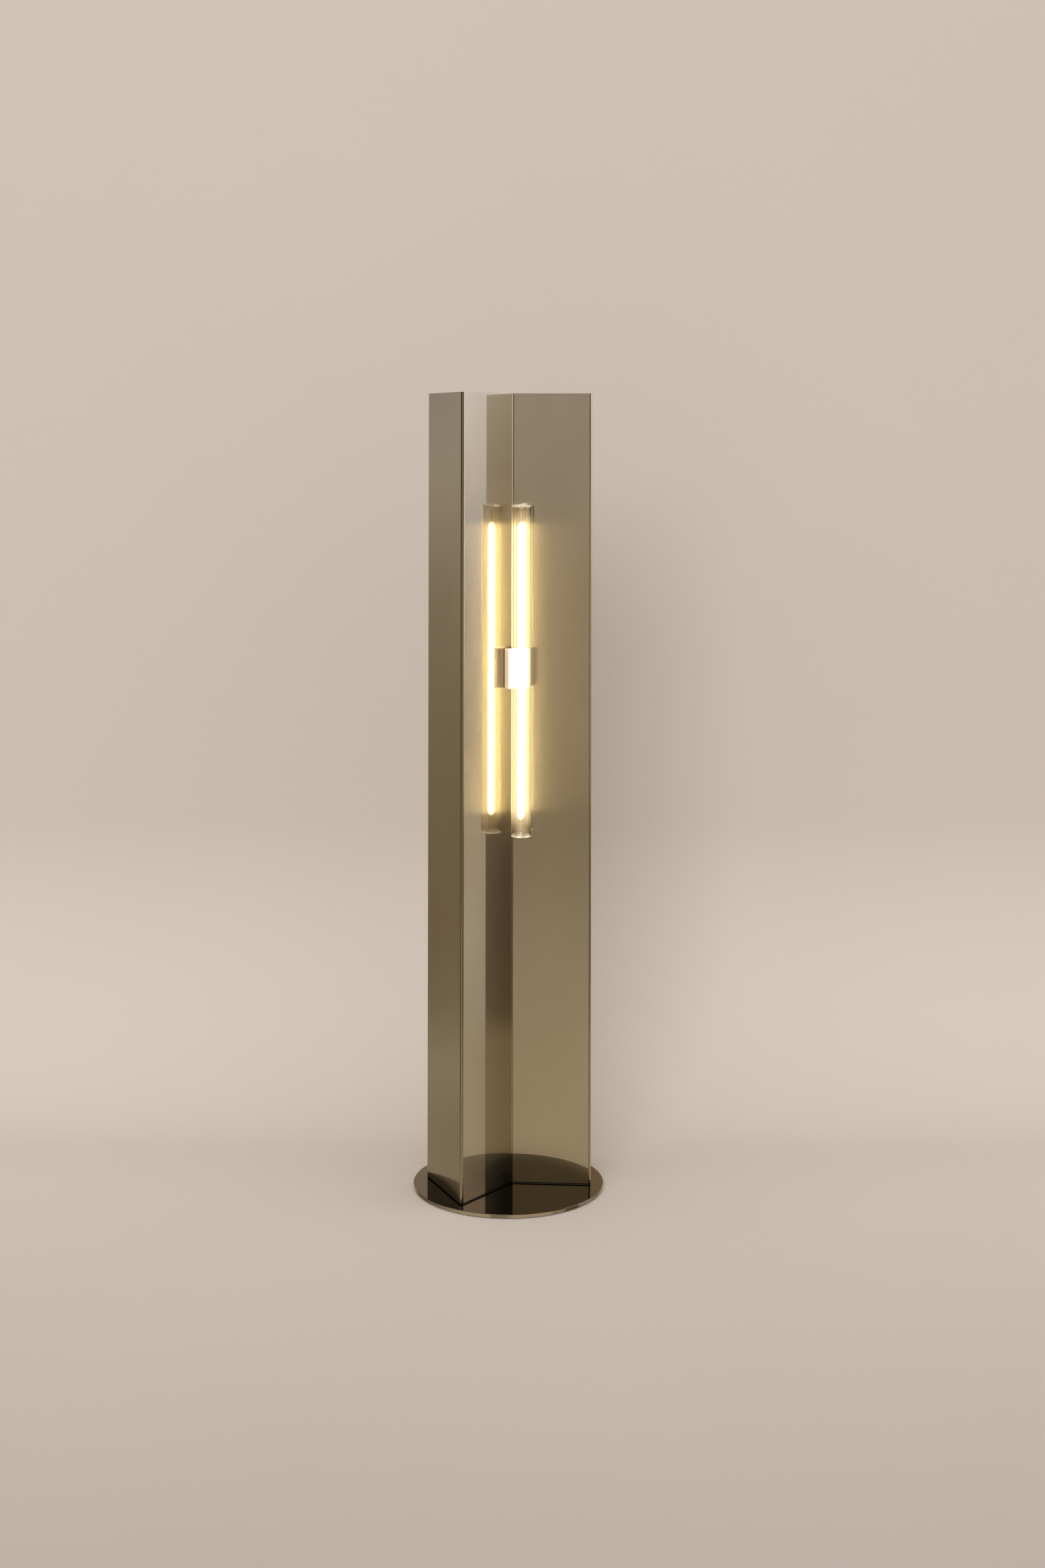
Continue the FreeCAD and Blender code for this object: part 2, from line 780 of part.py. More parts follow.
foot_top = plate_top + foot_thickness
terminal_x = lobe_reach * terminal_place_share
terminal_face_x = terminal_x - terminal_length / 2
pole_z = foot_top + terminal_height / 2
pole_places_y = [lead_y + (i - (terminal_poles - 1) / 2) * terminal_pole_pitch for i in range(terminal_poles)]
lead_spread = lead_diameter + lead_gap
lead_places_y = [lead_y - lead_spread / 2, lead_y + lead_spread / 2]


def terminal_screw_places():
    """The two fixings stand outside the poles, on both sides of the block."""
    side = terminal_width / 2 * terminal_screw_share
    return [V(terminal_x, lead_y - side, 0), V(terminal_x, lead_y + side, 0)]


def terminal_seat_z():
    """The level that the fixings' heads press on, inside the block."""
    return foot_top + terminal_screw["length"] - foot_thickness * terminal_grip_share


def terminal_block():
    low = V(terminal_face_x, lead_y - terminal_width / 2, foot_top)
    body = block(low, low + V(terminal_length, terminal_width, terminal_height))
    top = foot_top + terminal_height
    cutters = []
    for y in pole_places_y:
        cutters.append(rod(clamp_diameter / 2 + bonded_fit, V(terminal_face_x - cut_overrun, y, pole_z),
                           V(terminal_face_x + terminal_length + cut_overrun, y, pole_z)))
        stud_place = V(terminal_x, y, 0)
        cutters += holes([stud_place], clamp_stud / 2 + bonded_fit, pole_z, top)
    cutters += holes(terminal_screw_places(), terminal_screw["shank"] / 2 + bonded_fit, foot_top, top)
    for place in terminal_screw_places():
        cutters.append(rod(terminal_screw["head"] / 2 + bonded_fit, place + V(0, 0, terminal_seat_z()),
                           place + V(0, 0, top + cut_overrun)))
    return cut_all(body, cutters)


def terminal_screws():
    screw = pan_screw(terminal_screw)
    seat = V(0, 0, terminal_seat_z())
    return Part.makeCompound([placed(screw, p + seat, Z_AXIS) for p in terminal_screw_places()])


def terminal_clamps():
    """A tube for each pole, with its clamping stud up to the top of the block."""
    clamps = []
    for y in pole_places_y:
        start = V(terminal_face_x + clamp_inset, y, pole_z)
        end = start + V(terminal_length - 2 * clamp_inset, 0, 0)
        tube = rod(clamp_diameter / 2, start, end)
        stud_foot = V(terminal_x, y, pole_z + clamp_bore / 2)
        stud = rod(clamp_stud / 2, stud_foot, V(terminal_x, y, foot_top + terminal_height))
        bore = rod(clamp_bore / 2, start - X_AXIS * cut_overrun, end + X_AXIS * cut_overrun)
        clamps.append(tube.cut(bore).fuse(stud))
    return Part.makeCompound(clamps)


def wire(points, bends, radius):
    """A round wire along straight runs, with an arc of its own radius at each corner."""
    ring = Part.Wire(Part.makeCircle(radius, points[0], unit(points[0], points[1])))
    return Part.Wire(rounded_edges(points, bends, False)).makePipeShell([ring], True, False)


def inner_leads():
    """Two leads from the terminal block to the waist, up it, and out through the fold to the contacts."""
    leads = []
    for pole_y, y, z in zip(pole_places_y[1:], lead_places_y, blade_heights):
        points = [
            V(terminal_face_x + clamp_inset, pole_y, pole_z),
            V(terminal_face_x - lead_sway_start, pole_y, pole_z),
            V(terminal_face_x - lead_sway_end, y, pole_z),
            V(0, y, pole_z),
            V(0, y, z),
            V(0, insert_back_y + contact_gap, z),
        ]
        bends = [0, lead_sway_radius, lead_sway_radius, lead_low_radius, lead_high_radius, 0]
        leads.append(wire(points, bends, lead_diameter / 2))
    return Part.makeCompound(leads)


def earth_landing():
    """Where the earth lead comes down on the tab of its ring."""
    x = terminal_face_x - earth_lead_run - earth_lead_radius
    return V(x, pole_places_y[0], foot_top + earth_ring_sheet)


def earth_place():
    """The centre of the earth screw, on top of the foot plate."""
    landing = earth_landing()
    return V(landing.x - earth_ring_reach, landing.y, foot_top)


def earth_ring():
    centre = earth_place()
    top = V(0, 0, earth_ring_sheet)
    ring = rod(earth_ring_diameter / 2, centre, centre + top)
    half = earth_lead_diameter / 2
    tab_end = earth_landing().x + half
    tab = block(V(centre.x, centre.y - half, foot_top), V(tab_end, centre.y + half, foot_top) + top)
    return ring.fuse(tab).cut(rod(earth_screw["shank"] / 2 + shank_clearance, centre - Z_AXIS * cut_overrun,
                                  centre + top + Z_AXIS * cut_overrun))


def earth_lead():
    landing = earth_landing()
    start = V(terminal_face_x + clamp_inset, landing.y, pole_z)
    points = [start, V(landing.x, landing.y, pole_z), landing]
    return wire(points, [0, earth_lead_radius, 0], earth_lead_diameter / 2)


def earth_bolt():
    return placed(pan_screw(earth_screw), earth_place() + V(0, 0, earth_ring_sheet), Z_AXIS)


# Cord inlet: its own +Z points out of the cover, from the cover's outer face

def gland_place():
    """The gland's centre on the outer face of the cover's right wing."""
    return back_fold + right_wall * (panel_width * gland_place_share) + V(0, 0, gland_height)


def turned(radius, low, high):
    """A round piece of the gland between two distances from the cover's outer face."""
    return rod(radius, V(0, 0, low), V(0, 0, high))


def gland_bored(shape, low, high):
    """The gland piece with the cord's bore through it, set in its place."""
    bore = turned(gland_bore / 2, low - cut_overrun, high + cut_overrun)
    return placed(shape.cut(bore), gland_place(), right_out)


gland_neck_end = gland_flange_thickness + gland_neck_length
gland_seal_start = gland_neck_end + bonded_fit
gland_seal_end = gland_seal_start + gland_seal_length
gland_front = gland_seal_end + bonded_fit + gland_front_wall


def gland_body():
    body = turned(gland_flange_diameter / 2, 0, gland_flange_thickness)
    body = body.fuse(turned(gland_neck / 2, 0, gland_neck_end))
    body = body.fuse(turned(gland_shank / 2, -cover_sheet - gland_inside, 0))
    return gland_bored(body, -cover_sheet - gland_inside, gland_neck_end)


def gland_cap():
    cap = turned(gland_cap_diameter / 2, gland_flange_thickness + bonded_fit, gland_front)
    cap = cap.makeFillet(gland_cap_dome, rim_edges(cap, gland_front))
    cap = cap.cut(turned(gland_neck / 2 + thread_clearance, 0, gland_neck_end + bonded_fit))
    cap = cap.cut(turned(gland_seal_diameter / 2 + thread_clearance, 0, gland_seal_end + bonded_fit))
    return gland_bored(cap, 0, gland_front)


def gland_seal():
    seal = turned(gland_seal_diameter / 2, gland_seal_start, gland_seal_end)
    return gland_bored(seal, gland_seal_start, gland_seal_end)


def gland_locknut():
    low = -cover_sheet - gland_nut_height
    nut = hexagon(gland_nut_flats, gland_nut_height, ORIGIN).translated(V(0, 0, low))
    nut = nut.cut(turned(gland_shank / 2 + thread_clearance, low - cut_overrun, cut_overrun))
    return placed(nut, gland_place(), right_out)


nodes = {
    "base_pad": base_pad,
    "base_plate": base_plate,
    "base_screws": base_screws,
    "foot_plate": foot_plate,
    "column_shell": column_shell,
    "back_cover": back_cover,
    "cover_screws": cover_screws,
    "clinch_nuts": clinch_nuts,
    "grommets": grommets,
    "cap_carrier": cap_carrier,
    "top_cap": top_cap,
    "cap_screws": cap_screws,
    "holder_body": holder_body,
    "socket_insert": socket_insert,
    "socket_contacts": socket_contacts,
    "holder_backplate": holder_backplate,
    "holder_screws": holder_screws,
    "glass_tube": glass_tube,
    "tube_end_upper": tube_end_upper,
    "tube_end_lower": tube_end_lower,
    "led_core": led_core,
    "core_supports": core_supports,
    "lamp_saddle": lamp_saddle,
    "lamp_cap": lamp_cap,
    "cap_blades": cap_blades,
    "terminal_block": terminal_block,
    "terminal_screws": terminal_screws,
    "terminal_clamps": terminal_clamps,
    "inner_leads": inner_leads,
    "earth_ring": earth_ring,
    "earth_lead": earth_lead,
    "earth_bolt": earth_bolt,
    "gland_body": gland_body,
    "gland_cap": gland_cap,
    "gland_seal": gland_seal,
    "gland_locknut": gland_locknut,
}

os.makedirs("parts", exist_ok=True)
for name in former_height_shares:
    former(name).exportStep(f"parts/{name}.step")
for name, make in nodes.items():
    make().exportStep(f"parts/{name}.step")
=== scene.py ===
import math

import bpy
from mathutils import Matrix, Vector


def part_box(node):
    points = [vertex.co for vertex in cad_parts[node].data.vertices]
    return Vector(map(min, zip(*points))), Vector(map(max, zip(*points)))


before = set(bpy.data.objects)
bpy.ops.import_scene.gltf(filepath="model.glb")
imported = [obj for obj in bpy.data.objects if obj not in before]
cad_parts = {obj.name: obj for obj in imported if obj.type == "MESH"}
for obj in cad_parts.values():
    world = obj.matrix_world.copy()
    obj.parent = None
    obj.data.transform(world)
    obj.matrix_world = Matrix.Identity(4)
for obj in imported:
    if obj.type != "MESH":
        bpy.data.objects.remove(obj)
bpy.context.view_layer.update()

# The camera looks level, turned from the groove's own front, and the shift frames the lamp.
# Lengths are in metres, the lens in millimetres, and the height is above the plate.
VIEW_TURN = math.radians(-24.18)
CAMERA_BACK = 3.2478
CAMERA_ASIDE = 0.0204
CAMERA_UP = 1.1272
CAMERA_ROLL = math.radians(0.107)
LENS = 48.69
SENSOR_WIDTH = 36
SHIFT = (-0.0004, -0.2166)
NEAREST = 0.05
FARTHEST = 60

LOOK = Vector((-math.sin(VIEW_TURN), math.cos(VIEW_TURN), 0))
ASIDE = Vector((math.cos(VIEW_TURN), math.sin(VIEW_TURN), 0))

# Colours that more than one finish uses, or that set the picture's tone, as linear shares of the light
PAPER = (0.605, 0.54, 0.478)
STEEL = (0.44, 0.39, 0.29)
DARK_STEEL = (0.23, 0.20, 0.16)
# Painted shade: the near-black shown in the shadowed gaps at the sheet's foot and where the holder meets the
# groove's walls
SHADOW_GAP_COLOUR = (0.02, 0.015, 0.01)

# Levels and places of the CAD pieces; the rod's and the tube's ends are measured from the lamp's middle
PLATE_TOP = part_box("base_plate")[1].z
SHEET_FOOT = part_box("column_shell")[0].z
LAMP_MIDDLE = (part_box("glass_tube")[0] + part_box("glass_tube")[1]) / 2
ROD_END = (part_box("led_core")[1].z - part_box("led_core")[0].z) / 2
TUBE_END = (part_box("tube_end_upper")[1].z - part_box("tube_end_lower")[0].z) / 2

# The polished sheet's grain: the roughness of its clear share and of its hazy share, each from low to high
CLEAR_ROUGHNESS = (0.02, 0.035)
HAZE_ROUGHNESS = (0.22, 0.52)
GRAIN_DIRECTION = 0.9
GRAIN_SCALE = 1000

# Painted shade along the sheet's foot, for the shadow in the gap over the plate: where it starts to clear and
# where it is clear, above the sheet's foot
FOOT_SHADE = (0.0012, 0.0016)

# Painted shade for the narrow gap where the holder meets the groove's walls: where it starts, and where it is
# dark, along Y
HOLDER_GAP_SHADE = (-0.0231, -0.0226)

# A pattern's scale along X, Y and Z that draws it out into upright streaks
UPRIGHT = (1, 1, 0.002)

# How the painted glow, standing in for the lamp's light, shows in its glass. The wall's and the rod's lengths
# run from the rod's end, the clear part's and the rim's from the tube's end, and the nub's out from the lamp's
# axis.
WALL_FADE = (-0.014, 0.016)
CLEAR_FADE = (-0.014, -0.007)
RIM_FADE = (-0.0056, -0.0046)
NUB_FADE = (0.0018, 0.0026)
ROD_FADE = 0.013
ROD_TIP = 0.001


# Helpers

def scaled(colour, share):
    """The colour, each part of it times the share."""
    return tuple(part * share for part in colour)


def grey(value):
    """The grey of this value, for a ramp that carries numbers."""
    return (value,) * 3


class Tree:
    """A node tree with short calls for the nodes used here."""

    def __init__(self, owner):
        owner.use_nodes = True
        self.tree = owner.node_tree
        self.tree.nodes.clear()

    def node(self, kind, **settings):
        made = self.tree.nodes.new(kind)
        for name, value in settings.items():
            setattr(made, name, value)
        return made

    def link(self, a, b):
        self.tree.links.new(a, b)

    def put(self, socket, value):
        if hasattr(value, "is_output"):
            self.link(value, socket)
        else:
            socket.default_value = value

    def math(self, operation, a, b=0.0, c=0.0):
        made = self.node("ShaderNodeMath", operation=operation)
        for socket, value in zip(made.inputs, (a, b, c)):
            self.put(socket, value)
        return made.outputs[0]

    def spread(self, value, low, high, to_low=0.0, to_high=1.0, smooth=False):
        made = self.node("ShaderNodeMapRange", clamp=True)
        made.interpolation_type = "SMOOTHSTEP" if smooth else "LINEAR"
        for socket, item in zip(made.inputs, (value, low, high, to_low, to_high)):
            self.put(socket, item)
        return made.outputs[0]

    def ramp(self, value, stops):
        made = self.node("ShaderNodeValToRGB")
        elements = made.color_ramp.elements
        while len(elements) < len(stops):
            elements.new(0.5)
        for element, (place, colour) in zip(elements, stops):
            element.position = place
            element.color = (*colour, 1)
        self.put(made.inputs[0], value)
        return made.outputs[0]

    def mix(self, factor, a, b, blend="MIX"):
        made = self.node("ShaderNodeMix", data_type="RGBA", blend_type=blend, clamp_factor=True)
        self.put(made.inputs[0], factor)
        self.put(made.inputs[6], a)
        self.put(made.inputs[7], b)
        return made.outputs[2]

    def noise(self, place, scale, detail=2.0, rough=0.5):
        made = self.node("ShaderNodeTexNoise")
        self.put(made.inputs["Vector"], place)
        self.put(made.inputs["Scale"], scale)
        self.put(made.inputs["Detail"], detail)
        self.put(made.inputs["Roughness"], rough)
        return made.outputs["Fac"]

    def place(self, scale=(1, 1, 1)):
        made = self.node("ShaderNodeMapping")
        made.inputs["Scale"].default_value = scale
        self.link(self.node("ShaderNodeTexCoord").outputs["Object"], made.inputs["Vector"])
        return made.outputs[0]

    def bump(self, height, strength, distance, normal=None):
        made = self.node("ShaderNodeBump")
        made.inputs["Strength"].default_value = strength
        made.inputs["Distance"].default_value = distance
        self.link(height, made.inputs["Height"])
        if normal is not None:
            self.link(normal, made.inputs["Normal"])
        return made.outputs[0]

    def parts(self, vector):
        """The vector's x, y and z."""
        made = self.node("ShaderNodeSeparateXYZ")
        self.link(vector, made.inputs[0])
        return made.outputs[0], made.outputs[1], made.outputs[2]

    def facing(self):
        """0 where the surface faces the eye, rising to 1 at its rim."""
        made = self.node("ShaderNodeLayerWeight")
        made.inputs["Blend"].default_value = 0.5
        return made.outputs["Facing"]

    def choice(self, factor, shader, other):
        """The one shader where the factor is 0, and the other where it is 1."""
        made = self.node("ShaderNodeMixShader")
        for socket, value in zip(made.inputs, (factor, shader, other)):
            self.link(value, socket)
        return made.outputs[0]

    def clear(self):
        return self.node("ShaderNodeBsdfTransparent").outputs[0]

    def principled(self, **sockets):
        made = self.node("ShaderNodeBsdfPrincipled")
        for name, value in sockets.items():
            self.put(made.inputs[name.replace("_", " ")], value)
        return made

    def out(self, shader, kind="ShaderNodeOutputMaterial"):
        self.link(shader, self.node(kind).inputs["Surface"])


def material(name):
    made = bpy.data.materials.new(name)
    return made, Tree(made)


# Materials

def mirror(name, colour, haze, waves, bow=0.0):
    """Polished sheet: long waves, faint clouding, and an upright grain too fine to see, rough on a share of it.

    The grain spreads a bright reflection sideways, as a glow with sharp ends, and the rest stays a mirror.
    Folded sheet bows in on both sides of its folds, by the slope bow, and painted shade darkens it along the
    foot, for the shadow in the gap over the plate.
    """
    made, t = material(name)
    clouds = t.noise(t.place((1, 1, 0.35)), 9.0, 5.0, 0.6)
    shade = t.ramp(clouds, [(0.3, scaled(colour, 0.95)), (0.7, scaled(colour, 1.05))])
    normal = t.bump(t.noise(t.place((1, 1, 0.3)), 5.0, 1.0, 0.4), waves, 0.002)
    if bow:
        x, _, z = t.parts(t.place())
        normal = t.bump(t.math("ABSOLUTE", x), 1.0, bow, normal)
        # Painted shade: a dark band along the sheet's foot, for the shadow in the gap over the plate
        clear_of_foot_shade = t.spread(z, SHEET_FOOT + FOOT_SHADE[0], SHEET_FOOT + FOOT_SHADE[1])
        shade = t.mix(clear_of_foot_shade, (*SHADOW_GAP_COLOUR, 1), shade)
    grain = t.node("ShaderNodeTexWhiteNoise", noise_dimensions="3D")
    t.link(t.place((GRAIN_SCALE,) * 3), grain.inputs["Vector"])
    rough = t.ramp(grain.outputs["Value"], [
        (0, grey(CLEAR_ROUGHNESS[0])), (1 - haze, grey(CLEAR_ROUGHNESS[1])),
        (1.01 - haze, grey(HAZE_ROUGHNESS[0])), (1, grey(HAZE_ROUGHNESS[1]))])
    metal = t.principled(Base_Color=shade, Metallic=1.0, Roughness=rough, Normal=normal)
    metal.inputs["Anisotropic"].default_value = GRAIN_DIRECTION
    t.out(metal.outputs[0])
    return made


def plain_metal(name, colour, roughness, scale=120.0, metallic=1.0, lit=None, gap_shade=None):
    """Machined or rolled metal with a fine uneven grain.

    A lower metallic share gives it a satin body. The colour lit is painted light, a glow that stands for
    lamplight off the polished walls.
    Painted shade, where asked, darkens the metal and that glow in the gap by the wall it stands against: from
    where it starts, along Y, to where it is dark.
    """
    made, t = material(name)
    grain = t.noise(t.place((1, 1, 0.15)), scale, 4.0)
    shade = t.ramp(grain, [(0.3, scaled(colour, 0.86)), (0.7, colour)])
    clear_of_gap_shade = 1.0
    # Painted shade: darkens the metal and its painted glow towards the groove's wall
    if gap_shade:
        _, y, _ = t.parts(t.place())
        clear_of_gap_shade = t.spread(y, *gap_shade, 1.0, 0.0)
        shade = t.mix(clear_of_gap_shade, (*SHADOW_GAP_COLOUR, 1), shade)
    rough = t.spread(grain, 0.3, 0.7, roughness * 0.8, roughness * 1.25)
    normal = t.bump(grain, 0.15, 0.0002)
    metal = t.principled(Base_Color=shade, Metallic=metallic, Roughness=rough, Normal=normal)
    # Painted light: a glow for the lamplight that the polished walls throw on the holder
    if lit:
        metal.inputs["Emission Color"].default_value = (*lit, 1)
        t.put(metal.inputs["Emission Strength"], clear_of_gap_shade)
    t.out(metal.outputs[0])
    return made


def moulded(name, colour, roughness, scale=900.0):
    """Moulded plastic or rubber with a fine spark texture."""
    made, t = material(name)
    place = t.place()
    spark = t.noise(place, scale, 3.0)
    drift = t.noise(place, 25.0, 2.0)
    shade = t.ramp(drift, [(0.3, scaled(colour, 0.9)), (0.7, colour)])
    rough = t.spread(spark, 0.3, 0.7, roughness * 0.85, roughness * 1.15)
    t.out(t.principled(Base_Color=shade, Roughness=rough, Normal=t.bump(spark, 0.2, 0.0001)).outputs[0])
    return made


def clear_glass(name, colour, glow):
    """Clear glass, drawn with faint brown streaks, that lets the light of lamps through.

    Its faint glow is painted light, an emitted glow that stands in for the rod's light scattered in the glass.
    """
    made, t = material(name)
    streaks = t.noise(t.place(UPRIGHT), 650.0, 2.0)
    shade = t.ramp(streaks, [(0.36, (0.82, 0.70, 0.52)), (0.56, (0.99, 0.965, 0.92))])
    glass = t.principled(Base_Color=shade, Roughness=0.0, IOR=1.47)
    glass.inputs["Transmission Weight"].default_value = 1.0
    glass.inputs["Emission Color"].default_value = (*colour, 1)
    t.link(glow(t), glass.inputs["Emission Strength"])
    shadow = t.node("ShaderNodeLightPath").outputs["Is Shadow Ray"]
    t.out(t.choice(shadow, glass.outputs[0], t.clear()))
    return made


def from_lamp(t):
    """How far a point is from the lamp's middle along its axis, and from the axis."""
    x, y, z = t.parts(t.place())
    along = t.math("ABSOLUTE", t.math("SUBTRACT", z, LAMP_MIDDLE.z))
    forward = t.math("SUBTRACT", y, LAMP_MIDDLE.y)
    out = t.math("SQRT", t.math("MULTIPLY_ADD", x, x, t.math("MULTIPLY", forward, forward)))
    return along, out


def wall_glow(t):
    """Painted light on the tube's wall: upright streaks of glow along the rod, brightest in front of it, that
    fade past its ends to faint lines.
    """
    along, _ = from_lamp(t)
    facing = t.facing()
    across = t.ramp(facing, [(0, grey(0.2)), (0.35, grey(0.17)), (0.7, grey(0.09)), (1, grey(0.05))])
    streaks = t.spread(t.noise(t.place(UPRIGHT), 900.0, 1.0), 0.35, 0.65, 0.5, 1.5)
    lit = t.spread(along, ROD_END + WALL_FADE[0], ROD_END + WALL_FADE[1], 1.0, 0.0, smooth=True)
    beyond = t.ramp(facing, [
        (0, grey(0.075)), (0.05, grey(0.07)), (0.09, grey(0.012)), (0.7, grey(0.012)), (1, grey(0.05))])
    end = t.spread(along, TUBE_END + CLEAR_FADE[0], TUBE_END + CLEAR_FADE[1], 1.0, 0.4, smooth=True)
    unlit = t.math("MULTIPLY", t.math("SUBTRACT", 1.0, lit), t.math("MULTIPLY", beyond, end))
    return t.math("MULTIPLY", t.math("MULTIPLY_ADD", across, lit, unlit), streaks)


def end_glow(t):
    """Painted light on the end glass: glow at the rounded rim, standing in for light led there, and at the nub
    that the rod's wires come from.
    """
    along, out = from_lamp(t)
    sparkle = t.spread(t.noise(t.place((1, 1, 1.6)), 700.0, 2.0), 0.35, 0.65, 0.15, 1.85)
    rim = t.spread(along, TUBE_END + RIM_FADE[0], TUBE_END + RIM_FADE[1], 0.0, 0.19, smooth=True)
    nub = t.spread(out, *NUB_FADE, 0.12, 0.0)
    return t.math("MAXIMUM", t.math("MULTIPLY", rim, sparkle), nub)


def glowing(name, middle, edge, strength, fade=0.0):
    """Opal plastic lit from inside, warmer towards its rim.

    With a fade, it dims over that length at the rod's ends.
    """
    made, t = material(name)
    drift = t.noise(t.place((1, 1, 0.3)), 12.0, 2.0)
    glow = t.ramp(t.facing(), [(0, middle), (0.4, edge), (1, scaled(edge, 0.3))])
    power = t.spread(drift, 0.2, 0.8, strength * 0.95, strength * 1.05)
    if fade:
        along, _ = from_lamp(t)
        dimming = t.spread(along, ROD_END - fade, ROD_END + ROD_TIP, 1.0, 0.012, smooth=True)
        power = t.math("MULTIPLY", power, dimming)
    shade = t.ramp(drift, [(0.3, (0.9, 0.87, 0.8)), (0.7, (0.95, 0.93, 0.88))])
    body = t.principled(Base_Color=shade, Roughness=0.3)
    t.link(glow, body.inputs["Emission Color"])
    t.link(power, body.inputs["Emission Strength"])
    t.out(body.outputs[0])
    return made


def striped_sleeve():
    """Green sleeve with a yellow stripe wound round it."""
    made, t = material("earth_sleeve")
    x, _, z = t.parts(t.place((900, 900, 900)))
    wave = t.math("SINE", t.math("ADD", x, z))
    shade = t.ramp(t.spread(wave, -1, 1), [(0.55, (0.06, 0.3, 0.06)), (0.62, (0.75, 0.65, 0.05))])
    t.out(t.principled(Base_Color=shade, Roughness=0.4).outputs[0])
    return made


finishes = {
    mirror("column_metal", STEEL, haze=0.46, waves=0.05, bow=0.010): ["column_shell", "back_cover"],
    mirror("cap_metal", STEEL, haze=0.40, waves=0.05): ["top_cap"],
    mirror("plate_metal", DARK_STEEL, haze=0.03, waves=0.05): ["base_plate"],
    # The holder's lit colour is painted lamplight, and its dark band by the groove's walls is painted shade
    plain_metal("holder_metal", (0.95, 0.77, 0.65), 0.45, metallic=0.3, lit=(0.36, 0.28, 0.18),
                gap_shade=HOLDER_GAP_SHADE): ["holder_body"],
    plain_metal("screw_metal", (0.42, 0.38, 0.31), 0.25): [
        "base_screws", "cover_screws", "cap_screws", "holder_screws", "terminal_screws", "earth_bolt"],
    plain_metal("inner_metal", (0.5, 0.5, 0.5), 0.38): [
        "foot_plate", "former_low", "former_mid", "former_high", "former_top", "cap_carrier", "clinch_nuts",
        "holder_backplate"],
    plain_metal("wire_metal", (0.55, 0.53, 0.5), 0.2): ["core_supports"],
    plain_metal("contact_brass", (0.78, 0.58, 0.28), 0.25): [
        "socket_contacts", "cap_blades", "terminal_clamps", "earth_ring"],
    moulded("black_rubber", (0.025, 0.024, 0.023), 0.7): ["base_pad", "grommets", "gland_seal"],
    moulded("black_moulding", (0.03, 0.03, 0.03), 0.4): ["gland_body", "gland_cap", "gland_locknut"],
    moulded("white_moulding", (0.82, 0.81, 0.77), 0.35): ["socket_insert", "lamp_cap", "terminal_block"],
    moulded("brown_sleeve", (0.16, 0.07, 0.03), 0.35): ["inner_leads"],
    striped_sleeve(): ["earth_lead"],
    clear_glass("tube_glass", (1.0, 0.83, 0.48), wall_glow): ["glass_tube"],
    clear_glass("end_glass", (1.0, 0.93, 0.76), end_glow): ["tube_end_upper", "tube_end_lower"],
    glowing("core_glow", middle=(1.0, 0.86, 0.50), edge=(0.08, 0.066, 0.03), strength=56.0,
            fade=ROD_FADE): ["led_core"],
    # The saddle's glow is painted light, standing in for the rod's light coming through the opal plastic
    glowing("saddle_glow", middle=(1.0, 0.96, 0.88), edge=(1.0, 0.9, 0.75), strength=1.3): ["lamp_saddle"],
}
for finish, names in finishes.items():
    for name in names:
        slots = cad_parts[name].data.materials
        slots.clear()
        slots.append(finish)


# Stage: a paper floor that sweeps up into a wall, seen only from its lit side, and a second floor under it that
# reaches behind the wall, for views from the side and the back. Distances are from the part's axis.

WALL_AT = 0.62
WALL_TOP = 4.5
SWEEP_RADIUS = 0.45
SWEEP_STEPS = 24
PAPER_HALF = 6.0
FLOOR_REACH = 9.0
FLOOR_SINK = 0.0005
# Painted shade on the floor: over this reach towards the camera the paper's colour falls to this share, for the
# light falling off
DIM_REACH = 1.2
DIM_SHARE = 0.71


def paper_material():
    """Matt paper, faintly mottled, with painted shade that darkens it from the lamp towards the camera, where
    the light falls off.
    """
    made, t = material("paper")
    _, forward, _ = t.parts(t.place())
    shade = t.ramp(t.noise(t.place(), 1.3, 3.0), [(0.3, scaled(PAPER, 0.99)), (0.7, scaled(PAPER, 1.01))])
    # Painted shade: the paper darkens towards the camera
    dimmed = t.node("ShaderNodeVectorMath", operation="SCALE")
    t.link(shade, dimmed.inputs[0])
    t.link(t.spread(forward, 0.0, -DIM_REACH, 1.0, DIM_SHARE), dimmed.inputs["Scale"])
    paper = t.principled(Base_Color=dimmed.outputs[0], Roughness=0.9)
    paper.inputs["Specular IOR Level"].default_value = 0.1
    back = t.node("ShaderNodeNewGeometry").outputs["Backfacing"]
    t.out(t.choice(back, paper.outputs[0], t.clear()))
    return made


def sheet(name, profile, half_width, finish):
    """A wide sheet over a profile of (forward, up) points, in the camera's directions. Metal doesn't see it."""
    points = [(x, y, z) for y, z in profile for x in (-half_width, half_width)]
    faces = [(2 * i, 2 * i + 1, 2 * i + 3, 2 * i + 2) for i in range(len(profile) - 1)]
    mesh = bpy.data.meshes.new(name)
    mesh.from_pydata(points, [], faces)
    for polygon in mesh.polygons:
        polygon.use_smooth = True
    mesh.materials.append(finish)
    made = bpy.data.objects.new(name, mesh)
    made.rotation_euler = (0, 0, VIEW_TURN)
    made.visible_glossy = False
    bpy.context.scene.collection.objects.link(made)


def swept_profile():
    """The floor's line from the front, round the sweep and up the wall."""
    sweep_start = WALL_AT - SWEEP_RADIUS
    profile = [(-FLOOR_REACH, 0.0), (sweep_start, 0.0)]
    for i in range(1, SWEEP_STEPS + 1):
        angle = math.pi / 2 * i / SWEEP_STEPS
        profile.append((sweep_start + SWEEP_RADIUS * math.sin(angle), SWEEP_RADIUS * (1 - math.cos(angle))))
    profile.append((WALL_AT, WALL_TOP))
    return profile


paper = paper_material()
sheet("backdrop", swept_profile(), PAPER_HALF, paper)
sheet("ground", [(-FLOOR_REACH, -FLOOR_SINK), (FLOOR_REACH, -FLOOR_SINK)], FLOOR_REACH, paper)


